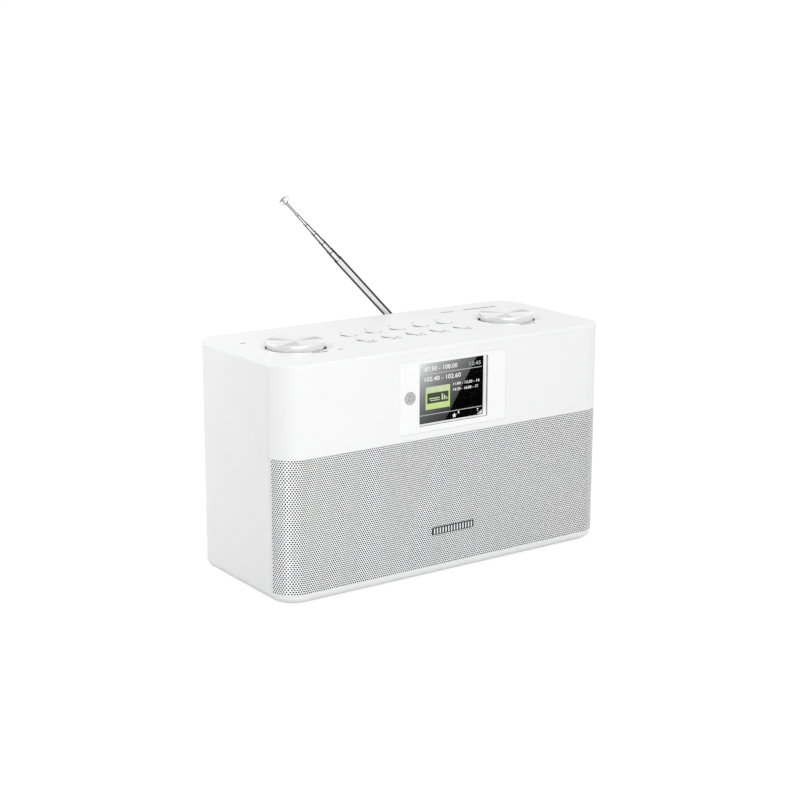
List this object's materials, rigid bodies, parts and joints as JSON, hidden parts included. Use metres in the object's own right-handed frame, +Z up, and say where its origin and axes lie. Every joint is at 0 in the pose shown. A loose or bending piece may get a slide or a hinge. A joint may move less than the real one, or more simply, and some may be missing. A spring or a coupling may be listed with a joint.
{
  "type": "tabletop radio",
  "caption": "Wide white table radio with a wrap-round perforated grille, small colour display, two top knobs, round keys and a rear telescopic antenna.",
  "frame": {"origin": "under the middle of the cabinet, on the plane of the four feet", "axes": "+X to the radio's right as seen from the front, along its width; +Y to the back, the antenna side; +Z up"},
  "size_m": [0.283, 0.1338, 0.2633],
  "materials": {
    "shell_plastic": "fine satin off-white ABS",
    "gloss_plastic_white": "gloss white ABS",
    "grille_metal": "white-lacquered perforated steel sheet",
    "black_cloth": "black acoustic cloth",
    "window_acrylic": "clear acrylic, back-printed white round the view",
    "smoked_acrylic": "smoked infrared filter",
    "badge_aluminium": "brushed",
    "rubber_black": "matt",
    "black_plastic": "fine matt",
    "lcd_black": "black display with a metal frame",
    "pcb_green": "solder resist",
    "component_dark": "moulded components",
    "switch_plastic": "moulded switch bodies",
    "zinc_metal": "plated steel",
    "spun_aluminium": "spun, bright anodised",
    "knob_core_plastic": "glass-filled nylon",
    "cone_paper": "pressed paper cone with a rubber surround",
    "magnet_ferrite": "ferrite ring with plated pole plates",
    "acetal_white": "acetal",
    "chrome_brass": "nickel-chrome plated brass"
  },
  "bodies": {
    "cabinet": {"rear_cabinet": "shell_plastic", "front_panel": "gloss_plastic_white", "top_panel": "shell_plastic", "speaker_grille": "grille_metal", "acoustic_cloth": "black_cloth", "display_lens": "window_acrylic", "ir_window": "smoked_acrylic", "name_badge": "badge_aluminium", "rubber_feet": "rubber_black", "jack_plate": "black_plastic", "reflex_port": "black_plastic", "lcd_module": "lcd_black", "main_board": "pcb_green", "board_components": "component_dark", "key_board": "pcb_green", "key_switches": "switch_plastic", "left_encoder_body": "zinc_metal", "right_encoder_body": "zinc_metal", "left_speaker_frame": "black_plastic", "left_speaker_cone": "cone_paper", "left_speaker_magnet": "magnet_ferrite", "right_speaker_frame": "black_plastic", "right_speaker_cone": "cone_paper", "right_speaker_magnet": "magnet_ferrite", "speaker_screws": "zinc_metal", "case_screws": "zinc_metal", "board_screws": "zinc_metal", "dc_jack": "black_plastic", "aux_jack": "black_plastic", "headphone_jack": "black_plastic", "antenna_base": "black_plastic"},
    "button_1": {"button_1": "shell_plastic"},
    "button_2": {"button_2": "shell_plastic"},
    "button_3": {"button_3": "shell_plastic"},
    "button_4": {"button_4": "shell_plastic"},
    "button_5": {"button_5": "shell_plastic"},
    "button_6": {"button_6": "shell_plastic"},
    "button_7": {"button_7": "shell_plastic"},
    "button_8": {"button_8": "shell_plastic"},
    "button_9": {"button_9": "shell_plastic"},
    "button_10": {"button_10": "shell_plastic"},
    "left_press": {"left_press_slider": "acetal_white"},
    "left_dial": {"left_encoder_shaft": "zinc_metal", "left_knob": "knob_core_plastic", "left_knob_cap": "spun_aluminium"},
    "right_press": {"right_press_slider": "acetal_white"},
    "right_dial": {"right_encoder_shaft": "zinc_metal", "right_knob": "knob_core_plastic", "right_knob_cap": "spun_aluminium"},
    "antenna_swivel": {"antenna_swivel": "chrome_brass", "antenna_hinge_pin": "chrome_brass"},
    "section_1": {"antenna_section_1": "chrome_brass"},
    "section_2": {"antenna_section_2": "chrome_brass"},
    "section_3": {"antenna_section_3": "chrome_brass"},
    "section_4": {"antenna_section_4": "chrome_brass"},
    "section_5": {"antenna_section_5": "chrome_brass"},
    "section_6": {"antenna_section_6": "chrome_brass"},
    "section_7": {"antenna_section_7": "chrome_brass", "antenna_tip": "chrome_brass"}
  },
  "joints": [
    {"name": "button_1_press", "type": "slide", "parent": "cabinet", "child": "button_1", "axis": [0, 0, -1], "range_m": [0, 0.0005], "stiffness_N_per_m": 900, "springref_m": -0.0012},
    {"name": "button_2_press", "type": "slide", "parent": "cabinet", "child": "button_2", "axis": [0, 0, -1], "range_m": [0, 0.0005], "stiffness_N_per_m": 900, "springref_m": -0.0012},
    {"name": "button_3_press", "type": "slide", "parent": "cabinet", "child": "button_3", "axis": [0, 0, -1], "range_m": [0, 0.0005], "stiffness_N_per_m": 900, "springref_m": -0.0012},
    {"name": "button_4_press", "type": "slide", "parent": "cabinet", "child": "button_4", "axis": [0, 0, -1], "range_m": [0, 0.0005], "stiffness_N_per_m": 900, "springref_m": -0.0012},
    {"name": "button_5_press", "type": "slide", "parent": "cabinet", "child": "button_5", "axis": [0, 0, -1], "range_m": [0, 0.0005], "stiffness_N_per_m": 900, "springref_m": -0.0012},
    {"name": "button_6_press", "type": "slide", "parent": "cabinet", "child": "button_6", "axis": [0, 0, -1], "range_m": [0, 0.0005], "stiffness_N_per_m": 900, "springref_m": -0.0012},
    {"name": "button_7_press", "type": "slide", "parent": "cabinet", "child": "button_7", "axis": [0, 0, -1], "range_m": [0, 0.0005], "stiffness_N_per_m": 900, "springref_m": -0.0012},
    {"name": "button_8_press", "type": "slide", "parent": "cabinet", "child": "button_8", "axis": [0, 0, -1], "range_m": [0, 0.0005], "stiffness_N_per_m": 900, "springref_m": -0.0012},
    {"name": "button_9_press", "type": "slide", "parent": "cabinet", "child": "button_9", "axis": [0, 0, -1], "range_m": [0, 0.0005], "stiffness_N_per_m": 900, "springref_m": -0.0012},
    {"name": "button_10_press", "type": "slide", "parent": "cabinet", "child": "button_10", "axis": [0, 0, -1], "range_m": [0, 0.0005], "stiffness_N_per_m": 900, "springref_m": -0.0012},
    {"name": "left_knob_press", "type": "slide", "parent": "cabinet", "child": "left_press", "axis": [0, 0, -1], "range_m": [0, 0.0005], "stiffness_N_per_m": 1500, "springref_m": -0.0016},
    {"name": "left_knob_turn", "type": "hinge", "parent": "left_press", "child": "left_dial", "pos_m": [-0.0935, -0.001, 0.1605], "axis": [0, 0, 1], "continuous": true},
    {"name": "right_knob_press", "type": "slide", "parent": "cabinet", "child": "right_press", "axis": [0, 0, -1], "range_m": [0, 0.0005], "stiffness_N_per_m": 1500, "springref_m": -0.0016},
    {"name": "right_knob_turn", "type": "hinge", "parent": "right_press", "child": "right_dial", "pos_m": [0.0935, -0.001, 0.1605], "axis": [0, 0, 1], "continuous": true},
    {"name": "antenna_swing", "type": "hinge", "parent": "cabinet", "child": "antenna_swivel", "pos_m": [0.0646, 0.0683, 0.1338], "axis": [0, 1, 0], "range_deg": [-45.5, 134.5]},
    {"name": "antenna_elbow", "type": "hinge", "parent": "antenna_swivel", "child": "section_1", "pos_m": [0.0646, 0.0683, 0.1338], "axis": [-0.7133, 0, -0.7009], "range_deg": [0, 90]},
    {"name": "antenna_slide_2", "type": "slide", "parent": "section_1", "child": "section_2", "axis": [-0.7009, 0, 0.7133], "range_m": [-0.0098, 0.077]},
    {"name": "antenna_slide_3", "type": "slide", "parent": "section_2", "child": "section_3", "axis": [-0.7009, 0, 0.7133], "range_m": [-0.0098, 0.074]},
    {"name": "antenna_slide_4", "type": "slide", "parent": "section_3", "child": "section_4", "axis": [-0.7009, 0, 0.7133], "range_m": [-0.0098, 0.071]},
    {"name": "antenna_slide_5", "type": "slide", "parent": "section_4", "child": "section_5", "axis": [-0.7009, 0, 0.7133], "range_m": [-0.0098, 0.068]},
    {"name": "antenna_slide_6", "type": "slide", "parent": "section_5", "child": "section_6", "axis": [-0.7009, 0, 0.7133], "range_m": [-0.0098, 0.065]},
    {"name": "antenna_slide_7", "type": "slide", "parent": "section_6", "child": "section_7", "axis": [-0.7009, 0, 0.7133], "range_m": [-0.0098, 0.062]}
  ]
}
